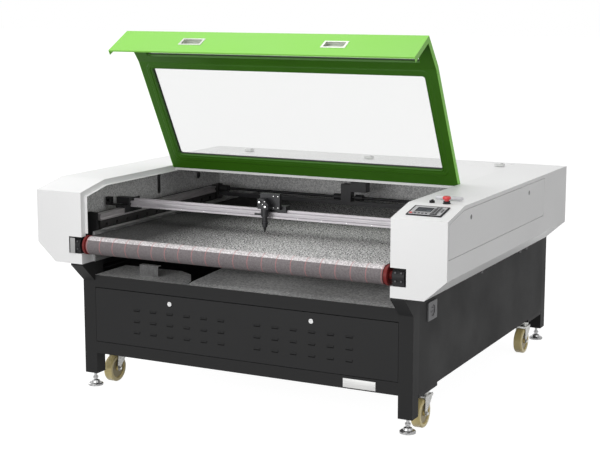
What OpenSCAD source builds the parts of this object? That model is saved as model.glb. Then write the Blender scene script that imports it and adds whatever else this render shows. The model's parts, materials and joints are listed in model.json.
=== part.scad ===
// Conveyor laser cutter with a passing mesh belt, an open lid and casters.
// X runs across the machine, Y to its back, Z up from the floor.

/* [Housing] */
// Overall width of the white housing
housing_w = 2300; // [2060:10:2800]
// Depth of the housing from its front face to its rear wall
housing_d = 1890; // [1840:10:2100]
// Height of the housing's top above the floor
housing_top = 1130; // [1125:1:1180]
// Height of the housing's underside above the floor
housing_bottom = 709; // [700:1:712]
// Clear width between the two pods
opening_w = 1740; // [1400:10:2000]
// Depth of the sloping desk at the front of the pods
slope_run = 215; // [190:5:240]
// Drop of the desk at the front face
slope_drop = 45; // [30:1:55]
// Width of the bevel under each pod's outer edge
bevel_w = 110; // [40:5:120]
// Height of that bevel
bevel_h = 99; // [60:1:140]
// Thickness of the housing sheet
sheet = 2; // [1.5:0.1:2.5]
// Width of the bay beside the belt that holds the Y rail
bay_w = 190; // [170:5:210]

/* [Cabinet] */
// Setback of the cabinet's front behind the housing's front
cab_y = 110; // [100:5:130]
// Depth of the cabinet
cab_d = 2110; // [2080:10:2500]
// Side of the square leg tube
leg_w = 75; // [60:5:90]
// Wall of the leg tube
leg_t = 3; // [2:0.5:5]
// Height of the legs' lower end
leg_z = 96; // [80:1:120]
// Height of the side panels' lower edge
skirt_z = 204; // [198:1:208]
// Height of the front door
door_h = 289; // [240:1:289]
// Louvres across in each of the two groups
louvre_cols = 6; // [2:1:6]
// Distance between neighbouring louvre columns
louvre_pitch = 101.6; // [80:0.1:110]
// Width of one louvre
louvre_w = 38; // [20:1:60]

/* [Casters and feet] */
// Diameter of a caster wheel
wheel_d = 145; // [120:1:146]
// Width of a caster wheel
wheel_w = 49; // [30:1:50]
// Offset of the wheel from its swivel axis
trail = 53; // [35:1:55]
// Distance of the swivel axes from the cabinet's ends
caster_inset = 263; // [240:1:300]
// Distance of the swivel axes from the middle plane of the leg
caster_dx = 5; // [0:1:10]
// Diameter of a levelling foot's pad
pad_d = 80; // [50:1:90]
// Gap between a raised pad and the floor
pad_gap = 21; // [15:1:30]

/* [Conveyor] */
// Distance of the front roller's axis behind the housing's front
roller_y = 35; // [30:1:45]
// Height of the roller axes
roller_z = 809; // [805:1:812]
// Radius of the roller tube
roller_r = 44; // [36:1:44]
// Height of the rings on the front roller
ring_h = 2; // [1:0.5:3]
// Number of rings on the front roller
ring_count = 22; // [8:1:28]
// Gap between roller rings and belt
belt_gap = 0.3; // [0.2:0.1:0.5]
// Thickness of the mesh belt
belt_t = 1.7; // [1:0.1:3]
// Gap between the belt's edge and the side beam
belt_side = 35; // [25:1:50]
// Distance of the rear roller's axis ahead of the cabinet's rear face
rear_inset = 80; // [75:1:120]
// Radius of the roller shafts
roller_shaft_r = 12; // [8:0.5:16]
// Number of slats under the belt
slat_count = 14; // [6:1:24]

/* [Motion] */
// Distance of the gantry beam's front face behind the housing's front
beam_y = 480; // [440:10:900]
// Depth of the gantry beam
beam_d = 82; // [70:1:90]
// Height of the gantry beam's underside
beam_z = 946; // [944:1:950]
// Height of the gantry beam
beam_h = 32; // [28:1:34]
// Start of the Y rails behind the housing's front
rail_y = 217; // [200:1:230]
// Length of the Y rails
rail_len = 1202; // [1000:1:1210]
// Width of a Y rail
rail_w = 40; // [30:1:44]
// Height of the Y rails' top
rail_top = 941; // [938:1:942]
// Height of a Y rail
rail_h = 35; // [25:1:40]
// Distance of the head's middle from the machine's middle
head_x = 0; // [-600:10:600]
// Radius of the shaft that links both Y belts
sync_r = 8; // [6:0.5:10]
// Distance of that shaft behind the rails' rear end
sync_gap = 61; // [55:1:70]
// Radius of the toothed pulleys
pulley_r = 15; // [12:0.5:15]
// Width of the toothed belts
tooth_belt_w = 12; // [8:1:14]
// Radius of the focus tube
focus_r = 14; // [10:0.5:14]

/* [Lid] */
// Distance of the lid's hinge axis behind the housing's front
hinge_y = 913; // [900:1:925]
// Length from the hinge axis to the lid's kink
lid_flat = 711; // [690:1:720]
// Length of the sloping part of the lid
lid_slope = 199; // [180:1:200]
// Length of the lid's front panel
lid_front = 202; // [150:1:205]
// Angle of the kink
lid_kink = 11.5; // [9:0.1:12]
// Thickness of the lid with its frame
lid_t = 28; // [20:1:28]
// Hem at the foot of the lid's front skirt
lid_hem = 8; // [5:1:20]
// Gap between the lid and each pod
lid_gap = 3; // [2:0.5:6]
// Angle at which the lid stands open
lid_open = 61.4; // [0:0.1:70]
// Width of the lid frame's side bands
band_w = 70; // [50:1:100]
// Width of the lid frame's hinge rail
rail_band = 98; // [70:1:120]
// Corner radius of the main window
window_r = 14; // [10:1:60]
// Thickness of the clear windows
window_t = 4; // [3:0.5:5]

/* [Fittings] */
// Radius of the exhaust outlets
duct_r = 50; // [40:1:50]
// Length of the exhaust outlets behind the housing
duct_len = 60; // [40:1:100]
// Radius of the laser tube
laser_r = 30; // [25:1:32]
// Length of the laser tube
laser_len = 1450; // [1200:10:1600]
// Width of a lid pull
pull_w = 134; // [110:1:200]
// Height of a lid pull
pull_h = 64; // [40:1:80]
// Diameter of the emergency stop's button
estop_d = 40; // [32:1:44]

/* [Hidden] */
$fn = 64;

eps = 1;
run = 0.05;                       // radial clearance of a running fit
slide_gap = 0.3;                  // clearance of sliding flat faces
hx = housing_w / 2;
ox = opening_w / 2;
cx = ox + leg_w;                  // outer face of the cabinet
cab_rear = cab_y + cab_d;
belt_r = roller_r + ring_h + belt_gap + belt_t;
belt_top = roller_z + belt_r;
rear_roller_y = cab_rear - rear_inset;
front_y = roller_y - belt_r - 2;   // the roller's end discs stand foremost
rear_y = max(cab_rear, cab_rear - leg_w / 2 + pad_d / 2);
mid_y = (front_y + rear_y) / 2;    // middle of the whole machine
pod_mid = (ox + hx) / 2;
slope_a = atan(slope_drop / slope_run);
desk_z = housing_top - slope_drop;

notch_w = 80;                     // bearing notch in the pod
notch_h = 88;
floor_z = roller_z - notch_h / 2 - 1;
ledge_w = 15;                     // ledge that the lid rests on
ledge_drop = lid_t + 2;
ledge_y = 35;

rail_x = ox + 30;                 // inner face of the Y rail
rail_end = rail_y + rail_len;
sync_y = rail_end + sync_gap;
sync_z = rail_top - rail_h / 2 + 0.5;
idler_y = rail_y - 77;
belt_x = rail_x + rail_w + 5;     // inner edge of the toothed belt
beam_x = rail_x - 13;             // half length of the beam
beam_mid = beam_y + beam_d / 2;

gate_y = hinge_y + 7;             // front edge of the rear deck
back_y = housing_d - 150;         // galvanised wall before the tube
hatch_y = housing_d - 228;        // front edge of the hatch's opening
hatch_x = ox - 22;
tube_z = housing_top - 65;
duct_z = housing_top - 170;
duct_x = 500;
hinge_z = housing_top - 6;

front_rail_z = skirt_z + 5;       // front lower rail
front_rail_h = 64;
door_z = front_rail_z + front_rail_h + 3;
top_rail_z = door_z + door_h + 4;
rail_fold = 15;
plate_t = 3;

wheel_r = wheel_d / 2;
swivel_x = ox + leg_w / 2 - caster_dx;
bracket_z = skirt_z - 18;
foot_x = ox + leg_w / 2;
foot_y = leg_w / 2;

module centred() {
    translate([0, -mid_y, 0]) children();
}
module box(x0, x1, y0, y1, z0, z1) {
    translate([x0, y0, z0]) cube([x1 - x0, y1 - y0, z1 - z0]);
}
module rod_x(x0, x1, y, z, r) {
    translate([x0, y, z]) rotate([0, 90, 0]) cylinder(h = x1 - x0, r = r);
}
module rod_y(x, y0, y1, z, r) {
    translate([x, y1, z]) rotate([90, 0, 0]) cylinder(h = y1 - y0, r = r);
}
module rod_z(x, y, z0, z1, r) {
    translate([x, y, z0]) cylinder(h = z1 - z0, r = r);
}
// outline in Y and Z, drawn out along X
module prism_x(x0, x1, pts) {
    translate([x0, 0, 0]) rotate([90, 0, 90]) linear_extrude(x1 - x0) polygon(pts);
}
// outline in X and Z, drawn out along Y
module prism_y(y0, y1, pts) {
    translate([0, y1, 0]) rotate([90, 0, 0]) linear_extrude(y1 - y0) polygon(pts);
}
module both() {
    children();
    mirror([1, 0, 0]) children();
}

// ---- cabinet -------------------------------------------------------------
module leg(y) {
    difference() {
        box(ox, cx, y, y + leg_w, leg_z, housing_bottom);
        box(ox + leg_t, cx - leg_t, y + leg_t, y + leg_w - leg_t, leg_z + 6, housing_bottom + eps);
        rod_z(foot_x, y + leg_w / 2, leg_z - eps, leg_z + 7, 8 + run);
    }
}
// channel along Y, open to the middle of the machine
module side_rail(z) {
    difference() {
        box(cx - 60, cx - plate_t, cab_y + leg_w, cab_rear - leg_w, z, z + 60);
        box(cx - 61, cx - plate_t - 4, cab_y + leg_w + 4, cab_rear - leg_w - 4, z + 4, z + 56);
    }
}
module caster_bracket(y0, y1, swivel_y) {
    difference() {
        union() {
            box(swivel_x - 42, cx, y0, y1, bracket_z, skirt_z);
            rod_z(swivel_x, swivel_y, bracket_z - 10, bracket_z + 1, 22);
        }
        box(swivel_x - 38, cx - 4, y0 + 5, y1 - 5, bracket_z + 6, skirt_z + eps);
        rod_z(swivel_x, swivel_y, bracket_z - 11, bracket_z + 7, 8 + run);
    }
}
module cabinet_half() {
    difference() {
        union() {
            leg(cab_y);
            // gusset that carries the front of the pod
            prism_x(ox, cx, [
                [4, housing_bottom], [cab_y, housing_bottom],
                [cab_y, housing_bottom - 106], [4, housing_bottom - 10]
            ]);
        }
        // pivot of the front door
        rod_x(ox - eps, ox + 12, cab_y + 4, door_z + 4, 3 + run);
    }
    leg(cab_rear - leg_w);
    side_rail(skirt_z);
    side_rail(housing_bottom - 60);
    caster_bracket(cab_y + 79, cab_y + 322, cab_y + caster_inset);
    caster_bracket(cab_rear - 322, cab_rear - 79, cab_rear - caster_inset);
}
module front_channel(y, z, h, open) {
    difference() {
        box(-ox, ox, y, y + open, z, z + h);
        box(-ox + 4, ox - 4, y + plate_t, y + open + eps, z + plate_t, z + h - plate_t);
    }
}
module cabinet_frame() {
    color("#343434") centred() {
        both() cabinet_half();
        front_channel(cab_y, front_rail_z, front_rail_h, 60);
        front_channel(cab_y, top_rail_z, front_rail_h, rail_fold);
        translate([0, 2 * cab_rear - 60, 0]) translate([0, -cab_rear, 0]) {
            front_channel(0, skirt_z, 60, 60);
            front_channel(0, housing_bottom - 60, 60, 60);
        }
    }
}
module cabinet_panels() {
    color("#363636") centred() {
        both() box(cx - plate_t, cx, cab_y + leg_w, cab_rear - leg_w, skirt_z, housing_bottom);
        // floor and rear panel
        box(-cx + 60, cx - 60, cab_y + leg_w, cab_rear - leg_w, skirt_z, skirt_z + 2);
        difference() {
            box(-ox, ox, cab_rear - 3, cab_rear, skirt_z + 60, housing_bottom - 60);
            for (i = [-5:5], j = [0:3])
                box(i * 140 - 45, i * 140 + 45, cab_rear - 4, cab_rear + 1,
                    skirt_z + 170 + j * 30, skirt_z + 178 + j * 30);
        }
    }
}

// ---- housing -------------------------------------------------------------
function pod_section(t) = [
    [ox + t, housing_bottom + t],
    [hx - bevel_w - t * 0.4, housing_bottom + t],
    [hx - t, housing_bottom + bevel_h + t * 0.4],
    [hx - t, housing_top - t],
    [ox + t, housing_top - t]
];
function pod_side(t) = [
    [t, housing_bottom - eps],
    [housing_d - t, housing_bottom - eps],
    [housing_d - t, housing_top - t],
    [slope_run, housing_top - t],
    [t, desk_z - t + t * slope_drop / slope_run]
];
module pod_body(t) {
    intersection() {
        prism_y(t, housing_d - t, pod_section(t));
        prism_x(ox - eps, hx + eps, pod_side(t));
    }
}
// ledge under the lid: along the top, down the desk's slope, down the front
module lid_ledge() {
    z0 = housing_top - ledge_drop;
    zs = z0 - (slope_run - ledge_y) * slope_drop / slope_run;
    prism_x(ox - ledge_w, ox, [
        [gate_y, z0], [slope_run, z0], [ledge_y, zs],
        [ledge_y, belt_top + 10], [ledge_y + sheet, belt_top + 10],
        [ledge_y + sheet, zs - sheet], [slope_run, z0 - sheet], [gate_y, z0 - sheet]
    ]);
}
module pod(with_door) {
    z0 = housing_top - ledge_drop;
    zs = z0 - (slope_run - ledge_y) * slope_drop / slope_run;
    difference() {
        union() {
            difference() {
                pod_body(0);
                pod_body(sheet);
                // open inner side above the bay's floor
                prism_x(ox - eps, ox + sheet + eps, [
                    [ledge_y + sheet, floor_z], [back_y + sheet, floor_z], [back_y + sheet, z0 - sheet],
                    [slope_run, z0 - sheet], [ledge_y + sheet, zs - sheet]
                ]);
            }
            box(ox, ox + bay_w + sheet, 0, housing_d, floor_z - sheet, floor_z);
            lid_ledge();
        }
        // notch for the roller's bearing
        box(ox - ledge_w - eps, ox + notch_w, -eps, ledge_y + 5, floor_z, floor_z + notch_h);
        if (with_door) {
            prism_x(hx - sheet - eps, hx + eps, side_door_outline(-2));
            rod_z(pod_mid - 32, 239, housing_top - 3, housing_top + 1, 5 + run);
        }
    }
    if (with_door) {
        // hinge lugs of the side door
        for (y = [side_y0 - 2 - 8, side_y1 + 2])
            difference() {
                box(hx - 14, hx - sheet, y, y + 8, side_z0 - 2, side_z0 + 12);
                rod_y(hx - 5, y - 1, y + 9, side_z0 + 4, 2.5 + run);
            }
    }
}
side_y0 = 18;
side_y1 = 1465;
side_z0 = housing_top - 224;
side_z1 = housing_top - 21;
// grown outward by -t
function side_door_outline(t) = [
    [side_y0 + t, side_z0 + t], [side_y1 - t, side_z0 + t], [side_y1 - t, side_z1 - t],
    [slope_run, side_z1 - t], [side_y0 + t, side_z1 - t - (slope_run - side_y0 - t) * slope_drop / slope_run]
];
module left_pod() {
    color("#e9e9e9") centred() mirror([1, 0, 0]) pod(false);
}
module right_pod() {
    color("#e9e9e9") centred() pod(true);
}
hinge_xs = [-ox * 0.69, 0, ox * 0.69];
module rear_deck() {
    color("#ececec") centred() {
        difference() {
            union() {
                box(-ox, ox, gate_y, housing_d, housing_top - sheet, housing_top);
                box(-ox, ox, gate_y, gate_y + sheet, housing_top - 28, housing_top);
                box(-ox, ox, housing_d - sheet, housing_d, belt_top + 33, housing_top);
                // folded rim round the hatch's opening
                box(-hatch_x - sheet, hatch_x + sheet, hatch_y - sheet, housing_d - 19 + sheet,
                    housing_top - 15, housing_top);
                for (x = hinge_xs, s = [-1, 1]) {
                    rod_x(x + (s > 0 ? 15 : -40), x + (s > 0 ? 40 : -15), hinge_y, hinge_z, 6);
                    box(x + (s > 0 ? 15 : -40), x + (s > 0 ? 40 : -15), hinge_y, gate_y + 1,
                        hinge_z - 3, hinge_z + 3);
                }
                for (x = hinge_xs) rod_x(x - 40, x + 40, hinge_y, hinge_z, 3);
            }
            box(-hatch_x, hatch_x, hatch_y, housing_d - 19, housing_top - 16, housing_top + 1);
            // pivots of the hatch
            rod_x(-hatch_x - 3, hatch_x + 3, housing_d - 26, housing_top - 5, 2.5 + run);
            for (s = [-1, 1])
                rod_y(s * duct_x, housing_d - 3, housing_d + 1, duct_z, duct_r + slide_gap);
        }
    }
}
module inner_walls() {
    wall_x = ox + bay_w;
    color("#9a9a9a") centred() {
        both() difference() {
            box(wall_x, wall_x + sheet, 20, back_y, floor_z, housing_top - 4);
            prism_x(wall_x - 1, wall_x + 3, [
                [19, housing_top], [slope_run, housing_top - 4], [slope_run, housing_top - 4.5],
                [19, desk_z]
            ]);
            box(wall_x - 1, wall_x + 3, 1017, 1053, 938, 1057);
            box(wall_x - 1, wall_x + 3, sync_y - 20, sync_y + 26, 974, 1011);
        }
        difference() {
            box(-wall_x - sheet, wall_x + sheet, back_y, back_y + sheet, floor_z, housing_top - sheet);
            box(-ox - 1, ox + 1, back_y - 1, back_y + 3, floor_z - 1, belt_top + 28);
            box(-hatch_x - 8, hatch_x + 8, back_y - 1, back_y + 3, housing_top - 26, housing_top);
            // slots round the pods' inner flanges
            both() box(ox - 1, ox + sheet + 1, back_y - 1, back_y + 3, housing_top - ledge_drop - sheet, housing_top);
            // beam path into the rail bay
            rod_y(-(ox + 150), back_y - 1, back_y + 3, tube_z - 40, 12);
        }
    }
}

// ---- conveyor ------------------------------------------------------------
beam_in = ox - 12;                // inner face of the conveyor's side beams
module belt_table() {
    y0 = roller_y + 65;
    color("#b8b8b8") centred() {
        both() {
            difference() {
                box(beam_in, ox, y0, cab_rear - 10, housing_bottom, belt_top + 11);
                rod_x(beam_in - 1, ox + 1, rear_roller_y, roller_z, 24);
            }
            // strip over the belt's edge
            box(ox - belt_side + 3, ox, y0 + 81, back_y - 15, belt_top + 11, belt_top + 14);
        }
        for (i = [0:slat_count - 1]) {
            y = y0 + 40 + i * (rear_roller_y - 60 - y0 - 80) / (slat_count - 1);
            box(-beam_in, beam_in, y, y + 5, belt_top - belt_t - 38, belt_top - belt_t - slide_gap);
        }
    }
}
module mesh_belt() {
    bx = ox - belt_side;
    ri = belt_r - belt_t;
    color("#6e696c") centred() {
        box(-bx, bx, roller_y, rear_roller_y, belt_top - belt_t, belt_top);
        box(-bx, bx, roller_y, rear_roller_y, roller_z - belt_r, roller_z - ri);
        difference() {
            rod_x(-bx, bx, roller_y, roller_z, belt_r);
            rod_x(-bx - 1, bx + 1, roller_y, roller_z, ri);
            box(-bx - 1, bx + 1, roller_y, roller_y + 60, roller_z - 60, roller_z + 60);
        }
        difference() {
            rod_x(-bx, bx, rear_roller_y, roller_z, belt_r);
            rod_x(-bx - 1, bx + 1, rear_roller_y, roller_z, ri);
            box(-bx - 1, bx + 1, rear_roller_y - 60, rear_roller_y, roller_z - 60, roller_z + 60);
        }
    }
}
ring_pitch = 2 * (ox - 40) / (ring_count - 1);
module roller(y, with_rings, left_len) {
    // half profile along the axis: shaft, hub, disc, tube with rings
    tube_x = ox - 25;
    ring_pts = with_rings ? [
        for (i = [0:ring_count - 1], k = [0:3])
            let (x = -(ox - 40) + i * ring_pitch)
            [k < 2 ? x - 3 : x + 3, roller_r + ((k == 1 || k == 2) ? ring_h : 0)]
    ] : [];
    pts = concat(
        [[-left_len, 0], [-left_len, roller_shaft_r], [-ox, roller_shaft_r], [-ox, 20],
         [-tube_x - 12, 20], [-tube_x - 12, belt_r + 2], [-tube_x, belt_r + 2], [-tube_x, roller_r]],
        ring_pts,
        [[tube_x, roller_r], [tube_x, belt_r + 2], [tube_x + 12, belt_r + 2], [tube_x + 12, 20],
         [ox, 20], [ox, roller_shaft_r], [ox + 70, roller_shaft_r], [ox + 70, 0]]
    );
    translate([0, y, roller_z]) rotate([0, 90, 0])
        rotate_extrude($fn = 96) polygon([for (p = pts) [p[1], p[0]]]);
}
module front_roller() {
    color("#8a3a3c") centred() roller(roller_y, true, ox + 95);
}
module rear_roller() {
    color("#8a8a8a") centred() roller(rear_roller_y, false, ox + 70);
}
module bearing(y, z0) {
    difference() {
        union() {
            box(ox + 10, ox + 70, y - 30, y + 30, z0, roller_z + 10);
            rod_x(ox + 10, ox + 70, y, roller_z, 38);
        }
        rod_x(ox + 9, ox + 71, y, roller_z, roller_shaft_r + run);
    }
}
module roller_bearings() {
    color("#202020") centred() both() {
        bearing(roller_y, floor_z);
        bearing(rear_roller_y, housing_bottom);
    }
}
module waste_chute() {
    top = top_rail_z + front_rail_h;
    color("#8c8c8c") centred() {
        prism_x(-302, beam_in, [
            [cab_y + 2, top], [cab_y + 55, top + 7], [back_y + 100, top + 95],
            [back_y + 100, top + 97], [cab_y + 55, top + 9], [cab_y + 2, top + 2]
        ]);
        // shelf beside it, with its folded strut
        translate([0, 0, top]) linear_extrude(2) polygon([
            [-ox, cab_y + 2], [-302, cab_y + 2], [-334, cab_y + 93], [-419, cab_y + 230],
            [-510, cab_y + 288], [-ox, cab_y + 288]
        ]);
        box(-647, -534, cab_y + 90, cab_y + 93, top + 2, top + 60);
        box(-647, -534, cab_y + 93, cab_y + 120, top + 57, top + 60);
    }
}

// ---- motion system -------------------------------------------------------
module y_rails() {
    z0 = rail_top - rail_h;
    color("#c8c4c4") centred() both() prism_y(rail_y, rail_end, [
        [rail_x, z0], [rail_x + rail_w, z0], [rail_x + rail_w, z0 + 9],
        [rail_x + rail_w - 5, z0 + 11], [rail_x + rail_w - 5, rail_top - 11],
        [rail_x + rail_w, rail_top - 9], [rail_x + rail_w, rail_top],
        [rail_x, rail_top], [rail_x, rail_top - 9], [rail_x + 5, rail_top - 11],
        [rail_x + 5, z0 + 11], [rail_x, z0 + 9]
    ]);
}
module rail_carriers() {
    z1 = rail_top - rail_h;
    color("#4a4a4c") centred() both() {
        difference() {
            union() {
                box(rail_x + 5, rail_x + 35, rail_y, rail_end, z1 - 58, z1);
                for (i = [0:3])
                    box(rail_x + 5, rail_x + 35, rail_y + 20 + i * (rail_len - 100) / 3,
                        rail_y + 80 + i * (rail_len - 100) / 3, floor_z, z1 - 57);
            }
            for (i = [0:11])
                rod_x(rail_x + 4, rail_x + 36, rail_y + 60 + i * (rail_len - 120) / 11, z1 - 30, 12);
        }
        // pillow block of the linking shaft
        difference() {
            box(rail_x + 5, rail_x + 35, sync_y - 30, sync_y + 30, floor_z, sync_z + 24);
            rod_x(rail_x + 4, rail_x + 36, sync_y, sync_z, sync_r + run);
        }
        box(rail_x + 5, rail_x + 35, rail_end, sync_y - 30, floor_z, floor_z + 40);
    }
}
module idler_blocks() {
    x0 = belt_x - 9;
    x1 = belt_x + tooth_belt_w + 3;
    color("#303032") centred() both() {
        box(x0, x0 + 6, idler_y - 22, rail_y - 20, sync_z - 24, sync_z + 24);
        box(x1, x1 + 4, idler_y - 22, idler_y + 16, sync_z - 24, sync_z + 24);
        box(x0 + 5, x1 + 1, idler_y - 26, idler_y - 20, sync_z - 24, sync_z + 24);
        rod_x(x0, x1 + 4, idler_y, sync_z, 5);
        // standing plate that carries the cheeks
        box(ox + 4, x0 + 1, idler_y + 10, idler_y + 16, floor_z, sync_z + 38);
    }
}
module toothed_pulley(x0, w, y) {
    r = pulley_r;
    rod_x(x0 - 1.5, x0, y, sync_z, r + 3);
    rod_x(x0, x0 + w, y, sync_z, r);
    rod_x(x0 + w, x0 + w + 1.5, y, sync_z, r + 3);
}
module idler_pulleys() {
    color("#e6e6e0") centred() both() difference() {
        toothed_pulley(belt_x, tooth_belt_w, idler_y);
        rod_x(belt_x - 2, belt_x + tooth_belt_w + 2, idler_y, sync_z, 5 + run);
    }
}
module drive_belts() {
    ri = pulley_r + slide_gap;
    ro = ri + 1.2;
    x0 = belt_x + 0.5;
    x1 = belt_x + tooth_belt_w - 0.5;
    color("#1c1c1c") centred() both() {
        box(x0, x1, idler_y, sync_y, sync_z + ri, sync_z + ro);
        box(x0, x1, idler_y, sync_y, sync_z - ro, sync_z - ri);
        for (e = [[idler_y, 0], [sync_y, -40]]) difference() {
            rod_x(x0, x1, e[0], sync_z, ro);
            rod_x(x0 - 1, x1 + 1, e[0], sync_z, ri);
            box(x0 - 1, x1 + 1, e[0] + e[1], e[0] + e[1] + 40, sync_z - 40, sync_z + 40);
        }
    }
}
module sync_shaft() {
    color("#55565a") centred() {
        rod_x(-belt_x - tooth_belt_w - 2, belt_x + tooth_belt_w + 2, sync_y, sync_z, sync_r);
        both() toothed_pulley(belt_x, tooth_belt_w, sync_y);
        both() rod_x(rail_x - 56, rail_x, sync_y, sync_z, 20);
        rod_x(-124, -76, sync_y, sync_z, 18);
        rod_x(14, 62, sync_y, sync_z, 18);
    }
}
module drive_motors() {
    bar_top = sync_z - 22;
    color("#3a3a3e") centred() {
        // cross bar, gear case and motor of the Y drive
        box(-ox - 4, ox + 4, sync_y - 15, sync_y + 15, bar_top - 22, bar_top);
        both() box(ox + 4, rail_x + 5, sync_y - 15, sync_y + 15, bar_top - 22, bar_top);
        difference() {
            box(-72, -9, sync_y - 26, sync_y + 26, bar_top, sync_z + 79);
            rod_x(-73, -8, sync_y, sync_z, sync_r + run);
        }
        box(-9, 89, sync_y - 28, sync_y + 29, sync_z + 36, sync_z + 93);
        // gear motor of the front roller, inside the left pod
        difference() {
            box(-ox - 170, -ox - 75, 8, 98, floor_z, roller_z + 42);
            rod_x(-ox - 100, -ox - 74, roller_y, roller_z, roller_shaft_r + run);
        }
        rod_y(-ox - 125, 98, 250, roller_z, 36);
    }
}
module x_beam() {
    z1 = beam_z + beam_h;
    color("#c8c0c4") centred() {
        prism_x(-beam_x, beam_x, [
            [beam_y, beam_z], [beam_y + beam_d, beam_z], [beam_y + beam_d, beam_z + 11],
            [beam_y + beam_d - 6, beam_z + 13], [beam_y + beam_d - 6, z1 - 13],
            [beam_y + beam_d, z1 - 11], [beam_y + beam_d, z1], [beam_y, z1],
            [beam_y, z1 - 11], [beam_y + 6, z1 - 13], [beam_y + 6, beam_z + 13],
            [beam_y, beam_z + 11]
        ]);
        // guide rail of the head
        box(-beam_x + 6, beam_x - 6, beam_y + 25, beam_y + 40, z1, z1 + 12);
    }
}
module gantry_ends() {
    z0 = rail_top + slide_gap;
    z1 = beam_z + 7;
    color("#2c2c2e") centred() {
        both() {
            box(rail_x - 5, belt_x + tooth_belt_w + 2, beam_mid - 80, beam_mid + 80, z0, z1);
            box(beam_x, rail_x - 5, beam_mid - 51, beam_mid + 51, z0, z1 + 41);
            box(rail_x - 5, rail_x - slide_gap, beam_mid - 80, beam_mid + 80, rail_top - 24, z0 + 1);
        }
        // arm and mirror of the left end
        box(-rail_x - 145, -belt_x - tooth_belt_w, beam_y - 10, beam_y + 20, z1 - 6, z1);
        difference() {
            box(-rail_x - 145, -rail_x - 115, beam_y - 10, beam_y + 20, z1 - 1, z1 + 38);
            rod_y(-rail_x - 130, beam_y - 11, beam_y + 21, z1 + 20, 9);
        }
    }
}
module x_motor() {
    z0 = beam_z + 7;
    color("#58585a") centred() {
        difference() {
            box(-rail_x - 98, -rail_x, beam_y + 25, beam_y + 63, z0, z0 + 38);
            for (i = [0:8])
                box(-rail_x - 90 + i * 9, -rail_x - 86 + i * 9, beam_y + 23, beam_y + 27, z0 + 4, z0 + 34);
        }
        rod_x(-rail_x, -rail_x + 4, beam_y + 44, z0 + 19, 15);
    }
}
module laser_head() {
    z1 = beam_z + beam_h;
    y0 = beam_y + 25;
    fy = beam_y - 33;
    color("#242426") centred() translate([head_x, 0, 0]) {
        difference() {
            box(-70, 70, beam_y + 10, beam_y + 55, z1 + 2, z1 + 34);
            box(-71, 71, y0 - slide_gap, y0 + 15 + slide_gap, z1 + 1, z1 + 12 + slide_gap);
        }
        box(-70, 44, beam_y - 10, beam_y + 11, z1 + 16, z1 + 99);
        // mirror housing with its slanting back
        prism_y(fy - 22, beam_y - 9, [
            [-62, z1 + 22], [0, z1 + 22], [0, z1 + 46], [-28, z1 + 74], [-62, z1 + 74]
        ]);
        for (p = [[-14, 36], [-48, 58]])
            rod_y(p[0], fy - 30, fy - 21, z1 + p[1], 7);
        // sleeve of the focus tube, lens ring and sensor tab
        difference() {
            union() {
                rod_z(-31, fy, z1 - 18, z1 + 23, focus_r + 6);
                box(-51, -11, fy, beam_y - 9, z1 + 2, z1 + 23);
                box(-89, -45, fy - 6, fy + 6, z1 - 14, z1 - 4);
            }
            rod_z(-31, fy, z1 - 19, z1 + 22, focus_r + 0.08);
        }
    }
}
module focus_tube() {
    z1 = beam_z + beam_h;
    fy = beam_y - 33;
    tip = belt_top + 21;
    color("#5a5a5e") centred() translate([head_x - 31, fy, 0]) difference() {
        rotate_extrude($fn = 64) polygon([
            [0, tip], [4, tip], [10, tip + 27], [focus_r, tip + 27], [focus_r, tip + 40],
            [focus_r + 3, tip + 40], [focus_r + 3, tip + 52], [focus_r, tip + 52],
            [focus_r, z1], [0, z1]
        ]);
        translate([0, 0, tip - 1]) cylinder(h = z1 - tip + 2, r = 2);
    }
}

// ---- laser source, exhaust, small fittings -------------------------------
module laser_tube() {
    y = housing_d - 75;
    color("#dfe6ea") centred() {
        rod_x(-laser_len / 2 + 40, laser_len / 2 - 40, y, tube_z, laser_r);
        both() rod_x(laser_len / 2 - 40, laser_len / 2, y, tube_z, laser_r * 0.55);
    }
}
module tube_holders() {
    y = housing_d - 75;
    color("#2b2b2b") centred() both() difference() {
        union() {
            box(435, 465, back_y + sheet, y, tube_z - 20, tube_z + 20);
            rod_x(435, 465, y, tube_z, laser_r + 8);
        }
        rod_x(434, 466, y, tube_z, laser_r + 0.3);
    }
}
module side_fittings() {
    color("#8f9092") centred() {
        // power inlet on the right panel
        difference() {
            box(cx, cx + 6, cab_y + 175, cab_y + 288, housing_bottom - 167, housing_bottom - 75);
            rod_x(cx + 2, cx + 7, cab_y + 231.5, housing_bottom - 121, 29);
        }
        for (a = [90, 210, 330])
            rod_x(cx + 1, cx + 5, cab_y + 231.5 + 13 * cos(a), housing_bottom - 121 + 13 * sin(a), 3.5);
        // hose fittings under the right pod
        for (y = [829, 1457, 1567]) {
            rod_z(hx - bevel_w - 18, y, housing_bottom - 6, housing_bottom, 14);
            rod_z(hx - bevel_w - 18, y, housing_bottom - 20, housing_bottom - 5, 9);
        }
    }
}
module exhaust_outlets() {
    color("#c9ccce") centred() both() difference() {
        union() {
            rod_y(duct_x, housing_d - 24, housing_d + duct_len, duct_z, duct_r);
            // collar against the rear face
            rod_y(duct_x, housing_d, housing_d + 2, duct_z, duct_r + 8);
        }
        rod_y(duct_x, housing_d - 25, housing_d + duct_len + 1, duct_z, duct_r - 2);
    }
}
module bar_handle() {
    x0 = pod_mid - 57;
    x1 = pod_mid + 87;
    color("#cfd0d2") centred() {
        rod_x(x0 + 10, x1 - 10, 342, housing_top + 12, 9);
        for (x = [x0 + 10, x1 - 10]) translate([x, 342, housing_top + 12]) sphere(r = 9, $fn = 32);
        for (x = [x0 + 24, x1 - 24]) rod_z(x, 342, housing_top, housing_top + 12, 7);
    }
}
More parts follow.
